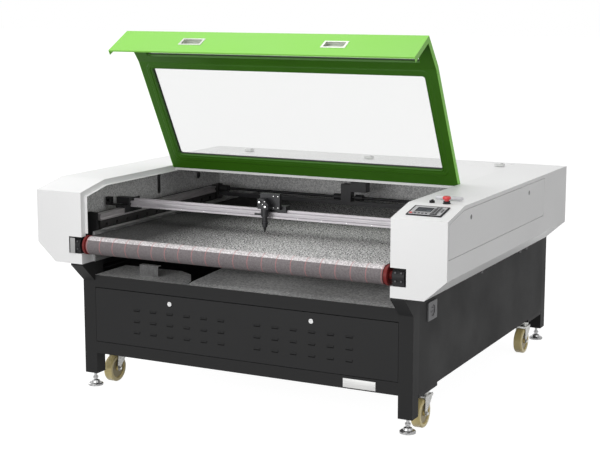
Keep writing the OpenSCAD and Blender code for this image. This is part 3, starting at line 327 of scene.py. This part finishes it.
LOOK = {
    "black": ["cabinet_panels"],
    "frame": ["cabinet_frame"],
    "door": ["front_door"],
    "white": ["left_pod", "right_pod", "side_door"],
    "deck": ["rear_deck", "tube_hatch"],
    "zinc_wall": ["inner_walls"],
    "chute": ["waste_chute"],
    "mesh": ["mesh_belt"],
    "table": ["belt_table"],
    "red": ["front_roller"],
    "steel": ["rear_roller"],
    "plastic": ["roller_bearings", "control_panel", "tube_holders", "key_switch"],
    "rail": ["y_rails"],
    "carrier": ["rail_carriers"],
    "beam": ["x_beam"],
    "dark": ["idler_blocks", "gantry_ends", "sync_shaft"],
    "rubber": ["drive_belts"],
    "motor": ["drive_motors", "x_motor"],
    "anod": ["laser_head", "focus_tube"],
    "pulley": ["idler_pulleys"],
    "glass": ["laser_tube"],
    "green_shaded": ["lid_frame"],
    "green_out": ["lid_skin"],
    "acrylic": ["lid_windows"],
    "pull": ["lid_pulls"],
    "grey": ["side_fittings"],
    "duct": ["exhaust_outlets"],
    "handle": ["bar_handle"],
    "lock": ["door_lock_left", "door_lock_right"],
    "lock_dark": ["side_lock_front", "side_lock_rear"],
    "cap": ["hatch_lock_left", "hatch_lock_mid", "hatch_lock_right"],
    "stop": ["estop_button"],
    "fork": ["brake_left", "brake_right"] + ["fork_" + corner for corner in corners],
    "wheel": ["wheel_" + corner for corner in corners],
    "foot": ["foot_" + corner for corner in corners],
}
for look, names in LOOK.items():
    for name in names:
        nodes[name].data.materials.clear()
        nodes[name].data.materials.append(SURFACE[look])

# the waste chute's folded strut faces the front; its front-facing faces take a darker zinc than the sheets,
# which is painted shade
chute = nodes["waste_chute"].data
chute.materials.append(SURFACE["strut"])
for face in chute.polygons:
    if face.normal.y < -0.9:
        face.material_index = 1


# ---------------------------------------------------------------- making pieces, measured in mm
MM = 0.001
FRONT_Y = -1.10375    # the housing's front face, from which depths are measured, in metres
SHARP = math.radians(35)
BEVEL_STEPS = 2
TO_FRONT, UP = (0, -1, 0), (0, 0, 1)


def place(x, y, z, tilt=0.0):
    """The place at x from the middle, y behind the front face and z over the floor, tilted back."""
    spot = Vector((x * MM, y * MM + FRONT_Y, z * MM))
    return Matrix.Translation(spot) @ Matrix.Rotation(math.radians(tilt), 4, "X")


def shift(x=0.0, y=0.0, z=0.0):
    return Matrix.Translation(Vector((x, y, z)) * MM)


def pivot(joint):
    """The place of a joint's axis."""
    return Matrix.Translation(Vector(joints[joint]["pos_m"]))


MACHINE = place(0, 0, 0)


def add(name, bm, mat, body, where):
    """Turns bm into the piece called name, which rides on body."""
    mesh = bpy.data.meshes.new(name)
    bmesh.ops.recalc_face_normals(bm, faces=bm.faces)
    bm.to_mesh(mesh)
    bm.free()
    mesh.transform(where)
    for face in mesh.polygons:
        face.use_smooth = True
    mesh.set_sharp_from_angle(angle=SHARP)
    o = bpy.data.objects.new(name, mesh)
    scene.collection.objects.link(o)
    mesh.materials.append(SURFACE[mat])
    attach(o, body)


def bevel(bm, edges, size):
    bmesh.ops.bevel(
        bm, geom=edges, offset=size * MM, segments=BEVEL_STEPS, affect="EDGES", profile=0.5
    )


def box_into(bm, x0, x1, y0, y1, z0, z1, r=0.0):
    """A box, its edges rounded by r."""
    verts = bmesh.ops.create_cube(bm, size=1.0)["verts"]
    for v in verts:
        corner = (x0 if v.co.x < 0 else x1, y0 if v.co.y < 0 else y1, z0 if v.co.z < 0 else z1)
        v.co = Vector(corner) * MM
    if r:
        bevel(bm, list(dict.fromkeys(edge for v in verts for edge in v.link_edges)), r)


def disc_into(bm, centre, axis, r, h, sides=24, rounding=0.0):
    """A short cylinder from centre along axis, the edge of its far face rounded."""
    along = Vector(axis).normalized()
    turn = along.to_track_quat("Z", "Y").to_matrix().to_4x4()
    start = Vector(centre) * MM
    verts = set(bmesh.ops.create_cone(
        bm, cap_ends=True, segments=sides, radius1=r * MM, radius2=r * MM, depth=h * MM,
        matrix=Matrix.Translation(start + along * h * MM / 2) @ turn
    )["verts"])
    if rounding:
        far = {v for v in verts if (v.co - start).dot(along) > h * MM - 1e-6}
        bevel(bm, [edge for edge in bm.edges if far.issuperset(edge.verts)], rounding)


def sweep_into(bm, rings):
    """Quads between closed rings of as many vertices each, the last ring joined to the first."""
    count = len(rings[0])
    for ring, after in zip(rings, rings[1:] + rings[:1]):
        for k in range(count):
            j = (k + 1) % count
            bm.faces.new((ring[k], ring[j], after[j], after[k]))


def ring_into(bm, centre, axis, r_in, r_out, h, sides=48, edge=0.4):
    """A flat ring from centre along axis, the edges of its far face cut off by edge."""
    turn = Vector(axis).normalized().to_track_quat("Z", "Y").to_matrix()
    section = (
        (r_in, 0), (r_out, 0), (r_out, h - edge), (r_out - edge, h), (r_in + edge, h), (r_in, h - edge)
    )
    angles = [2 * math.pi * k / sides for k in range(sides)]
    sweep_into(bm, [
        [bm.verts.new((Vector(centre) + turn @ Vector((r * math.cos(a), r * math.sin(a), depth))) * MM)
         for a in angles]
        for r, depth in section
    ])


def rounded_loop(half_w, low, high, r, steps=6):
    """Points round a rounded rectangle, half_w to each side and from low to high."""
    points = []
    middles = ((half_w - r, high - r), (r - half_w, high - r), (r - half_w, low + r), (half_w - r, low + r))
    for quarter, (mid_x, mid_s) in enumerate(middles):
        for k in range(steps + 1):
            angle = math.radians(90 * quarter + 90 * k / steps)
            points.append((mid_x + r * math.cos(angle), mid_s + r * math.sin(angle)))
    return points


def boxes(name, rows, mat, body, where):
    """One piece of boxes; a row holds what box_into takes."""
    bm = bmesh.new()
    for row in rows:
        box_into(bm, *row)
    add(name, bm, mat, body, where)


def discs(name, centres, mat, body, where, **shape):
    """One piece of like discs, shaped as disc_into says."""
    bm = bmesh.new()
    for centre in centres:
        disc_into(bm, centre, **shape)
    add(name, bm, mat, body, where)


def rim(name, outline, profile, mat, where):
    """A strip of constant section round an opening of the lid: outline is the opening's half width,
    its ends and corner radius, profile lists how far outward and how deep each edge lies."""
    half_w, low, high, corner_r = outline
    bm = bmesh.new()
    sweep_into(bm, [
        [bm.verts.new(Vector((x, -s, -depth)) * MM)
         for x, s in rounded_loop(half_w + out, low - out, high + out, max(0.5, corner_r + out))]
        for out, depth in profile
    ])
    add(name, bm, mat, "lid", where)


# ---------------------------------------------------------------- the pieces
POD_MID = 1010        # middle of the right pod
DESK_Z = 1085         # front edge of its sloping desk
DESK_TILT = 11.8214   # degrees
CAB_Y = 110           # front face of the cabinet


def keypad():
    """The panel's face on the desk: x across, y up the slope and z off the desk."""
    pad = place(POD_MID, 0, DESK_Z, DESK_TILT)
    low, high, half_w = 58, 165, 79               # overlay
    win_left, win_right, win_low, win_high = -61, 20, 62, 150
    sill_low, sill_high = 90, 95                  # bar between the display and the lower keys
    field_left, field_right = 24, 60              # opening of the right key field
    face, top = 5.0, 5.5                          # the overlay's underside and top
    boxes("keypad_overlay", [
        (-half_w, half_w, win_high, high, face, top),
        (-half_w, half_w, low, win_low, face, top),
        (-half_w, win_left, win_low, win_high, face, top),
        (win_right, field_left, win_low, win_high, face, top),
        (field_right, half_w, win_low, win_high, face, top),
        (win_left, win_right, sill_low, sill_high, face, top),
    ], "overlay", "machine", pad)
    boxes("keypad_display", [(-58.5, 17.5, 97.5, 147.5, 4.0, 4.5)], "screen", "machine", pad)
    line_widths, line_pitch = (30, 48, 22, 40), 9
    rows = [(-53, w - 53, 136 - line_pitch * k, 139 - line_pitch * k, 4.5, 4.7)
            for k, w in enumerate(line_widths)]
    boxes("keypad_display_rows", rows + [(-8, 13, 104, 124, 4.5, 4.7)], "ink", "machine", pad)
    boxes("keypad_key_field", [
        (26.5, 57.5, 78.5, 165.5, 4.4, 4.7),
        (-58.5, 17.5, 60.5, 87.5, 4.4, 4.7),
    ], "overlay", "machine", pad)
    right_keys = [(x, x + 12, y, y + 10, 4.7, 6.4, 1.2) for x in (28.5, 43.5) for y in range(81, 152, 14)]
    lower_keys = [(x, x + 12, 69, 80, 4.7, 6.2, 1.2) for x in range(-55, 0, 18)]
    edge_keys = [(65, 74, y - 5, y + 5, 5.5, 6.6, 1.0) for y in (132, 104, 118)]
    boxes("keypad_keys", right_keys + lower_keys + edge_keys, "key", "machine", pad)
    boxes("keypad_stop_key", [(-76, -64, 66, 80, 5.5, 6.8, 1.2)], "key_red", "machine", pad)


def blank_plate():
    """The bare plate on the lower front rail, in place of the badge."""
    left, right, low, high = 580, 753, 215, 260
    thick, inset = 1.4, 7
    face = CAB_Y - thick
    boxes("blank_plate", [(left, right, face, CAB_Y, low, high, 0.6)], "plate", "machine", MACHINE)
    rivets = [(x, face + 0.1, (low + high) / 2) for x in (left + inset, right - inset)]
    discs("blank_plate_rivets", rivets, "bolt", "machine", MACHINE,
          axis=TO_FRONT, r=2.6, h=0.9, sides=16, rounding=0.4)


def lid_trim():
    """Gaskets round the two panes and a stepped inner profile round the main one."""
    skin_offset, flat_run, kink = 6, 711, 11.5
    # at rest the lid stands open by just what its joint can close it
    lean = math.radians(joints["lid_hinge"]["range_deg"][0])
    lid = pivot("lid_hinge") @ Matrix.Rotation(lean, 4, "X") @ shift(z=skin_offset)
    past_kink = lid @ shift(y=-flat_run) @ Matrix.Rotation(math.radians(kink), 4, "X")
    main_pane = (797, 98, 668, 14)
    upper_pane = (792, 45, 179, 12)
    main_gasket = ((-5, 6.2), (0, 6.2), (0, 12), (-2, 13), (-5, 10))
    upper_gasket = ((-4, 6.2), (0, 6.2), (0, 11), (-2, 12), (-4, 10))
    step = ((10, 28), (12, 31), (30, 31), (34, 28))
    lip = ((0, 28), (0, 29.5), (3, 29.5), (4, 28))
    rim("lid_main_gasket", main_pane, main_gasket, "gasket", lid)
    # the step and lip take the frame's darker green, which is painted shade
    rim("lid_inner_step", main_pane, step, "green_shaded", lid)
    rim("lid_inner_lip", main_pane, lip, "green_shaded", lid)
    rim("lid_upper_gasket", upper_pane, upper_gasket, "gasket", past_kink)


def louvre_slot_shadows():
    """Painted shadow: dark strips for the openings under the front door's louvre hoods, in the same grid as
    the hoods.
    """
    first_x, pitch, columns, half_w = 104, 101.6, 6, 18
    louvre_foot = 291
    rows = []
    for side in (-1, 1):
        for column in range(columns):
            for height in (60, 120, 180):
                x, z = side * (first_x + column * pitch), louvre_foot + height
                rows.append((x - half_w, x + half_w, CAB_Y - 0.45, CAB_Y + 0.1, z - 10.0, z - 4.0))
    boxes("door_louvre_painted_shadows", rows, "slot", "front_door", MACHINE)


def bearing_fittings():
    """A mounting plate over the left bearing's outer half, and the cap screws of both bearings."""
    outer, inner, low, high = -940, -910, 765, 846
    boxes("bearing_plate", [(outer, inner, -4.4, -3.2, low, high, 0.4)], "bracket", "machine", MACHINE)
    screws = [(x, 1.5, z) for x in (-896, 896, 926) for z in (789, 829)]
    discs("bearing_screws", screws, "lock_dark", "machine", MACHINE,
          axis=TO_FRONT, r=4.5, h=4.5, sides=20, rounding=0.6)


def head_fittings():
    """Adjusting screws of the head's mirror mount and the bolts of its plate."""
    bm = bmesh.new()
    for centre in ((-14, 417.2, 1014), (-48, 417.2, 1036)):
        disc_into(bm, centre, TO_FRONT, r=6.4, h=3.6, rounding=1.0)
    for centre in ((-31, 424.5, 1026), (-20, 424.8, 1040)):
        disc_into(bm, centre, TO_FRONT, r=2.5, h=4, sides=16, rounding=0.5)
    add("head_adjusting_screws", bm, "chrome", "laser_head", MACHINE)
    bolts = [(x, 470, z) for x in (8, 34) for z in (1004, 1064)]
    discs("head_plate_bolts", bolts, "bolt", "laser_head", MACHINE,
          axis=TO_FRONT, r=3.2, h=2.6, sides=16, rounding=0.6)


def beam_screws():
    """A row of screws along the beam's front."""
    reach, pitch = 840, 140
    screws = [(x, 480.2, 951.5) for x in range(-reach, reach + 1, pitch)]
    discs("beam_screws", screws, "bolt", "gantry", MACHINE,
          axis=TO_FRONT, r=3.4, h=2.2, sides=16, rounding=0.6)


def hatch_lock_dark_discs():
    """A dark disc at one end of each quarter-turn lock's knob, off its axis."""
    knob_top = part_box("hatch_lock_mid")[1].z / MM
    off_axis = 15
    for name in ("left", "mid", "right"):
        x, y, _ = (coordinate / MM for coordinate in joints[f"hatch_lock_{name}_turn"]["pos_m"])
        centre = (x + off_axis, y - FRONT_Y / MM, knob_top)
        discs("hatch_lock_dark_disc_" + name, [centre], "key", "hatch_lock_" + name, MACHINE,
              axis=UP, r=8.0, h=0.7)


def wheel_fittings(corner):
    """The wheel's core, as rings that the hub's boss and the axle pass through, and the axle's nuts."""
    hub = pivot(f"wheel_{corner}_spin")
    core_x, nut_x = 18.6, 36
    bm = bmesh.new()
    for side in (-1, 1):
        ring_into(bm, (side * core_x, 0, 0), (side, 0, 0), r_in=14.2, r_out=50.5, h=1.2)
    add("wheel_core_" + corner, bm, "hub", "wheel_" + corner, hub)
    bm = bmesh.new()
    for side in (-1, 1):
        disc_into(bm, (side * nut_x, 0, 0), (side, 0, 0), r=8.0, h=5.0, sides=6, rounding=0.6)
    add("axle_nuts_" + corner, bm, "bolt", "fork_" + corner, hub)


keypad()
blank_plate()
lid_trim()
louvre_slot_shadows()
bearing_fittings()
head_fittings()
beam_screws()
hatch_lock_dark_discs()
for corner in corners:
    wheel_fittings(corner)


# ---------------------------------------------------------------- floor, world and lamps
SKY = 0.42       # how much the world lights the object
GLOW = 0.96      # what the floor adds where it is seen, which shows it white


def seen_rays(nt):
    """1 for rays that show the background: straight from the camera, mirrored or through glass."""
    path = nt.nodes.new("ShaderNodeLightPath").outputs
    shown = calc(nt, "MAXIMUM", path["Is Glossy Ray"], path["Is Transmission Ray"])
    return calc(nt, "MAXIMUM", path["Is Camera Ray"], shown)


def pale_floor():
    material, nt, bsdf = graph("floor_pale")
    feed(nt, bsdf.inputs["Base Color"], grey(0.20))
    bsdf.inputs["Roughness"].default_value = 0.9
    bsdf.inputs["Specular IOR Level"].default_value = 0.1
    glow = nt.nodes.new("ShaderNodeEmission")
    nt.links.new(calc(nt, "MULTIPLY", seen_rays(nt), GLOW), glow.inputs["Strength"])
    both = nt.nodes.new("ShaderNodeAddShader")
    nt.links.new(bsdf.outputs[0], both.inputs[0])
    nt.links.new(glow.outputs[0], both.inputs[1])
    nt.links.new(both.outputs[0], nt.nodes["Material Output"].inputs["Surface"])
    return material


def floor():
    half, drop = 60, -0.0005
    mesh = bpy.data.meshes.new("floor")
    outline = [(-half, -half, drop), (half, -half, drop), (half, half, drop), (-half, half, drop)]
    mesh.from_pydata(outline, [], [(0, 1, 2, 3)])
    o = bpy.data.objects.new("floor", mesh)
    scene.collection.objects.link(o)
    mesh.materials.append(pale_floor())


def studio():
    world = bpy.data.worlds.new("studio")
    scene.world = world
    world.use_nodes = True
    nt = world.node_tree
    background = nt.nodes["Background"]
    feed(nt, background.inputs["Color"], grey(1))
    nt.links.new(remap(nt, seen_rays(nt), SKY, 1.0), background.inputs["Strength"])


def area(name, location, target, size, watts):
    lamp = bpy.data.lights.new(name, "AREA")
    lamp.shape = "RECTANGLE"
    lamp.size, lamp.size_y = size
    lamp.energy = watts
    o = bpy.data.objects.new(name, lamp)
    scene.collection.objects.link(o)
    o.location = location
    o.rotation_euler = (Vector(target) - Vector(location)).to_track_quat("-Z", "Y").to_euler()


floor()
studio()
area("softbox_top", (-0.8, -1.0, 5.2), (0, 0, 0.9), (5.0, 4.0), 124)
area("softbox_front", (-1.6, -7.0, 1.55), (0.1, 0, 0.9), (6.0, 2.9), 150)
area("softbox_right", (6.0, -2.5, 2.4), (0, 0, 0.7), (3.0, 2.5), 47)
area("softbox_low", (0.3, -3.6, 1.45), (0.3, 0.4, 0.98), (2.4, 0.6), 20)
area("softbox_left", (-6.0, 0.5, 2.4), (0, 0, 0.9), (4.0, 3.0), 120)


# ---------------------------------------------------------------- camera
def photo_camera():
    """The photograph's camera, as solved from its vanishing lines."""
    down, roll, around = 9.2076, -0.066, 26.688   # degrees
    data = bpy.data.cameras.new("camera")
    camera = bpy.data.objects.new("camera", data)
    scene.collection.objects.link(camera)
    scene.camera = camera
    data.sensor_fit = "HORIZONTAL"
    data.sensor_width = 36.0
    data.lens = 81.56
    data.shift_x = -0.0150
    data.shift_y = -0.0161
    data.clip_end = 200
    camera.location = (3.2997, -6.7751, 2.0940)
    camera.rotation_euler = (math.radians(90 - down), math.radians(roll), math.radians(around))


photo_camera()
scene.view_settings.view_transform = "Standard"
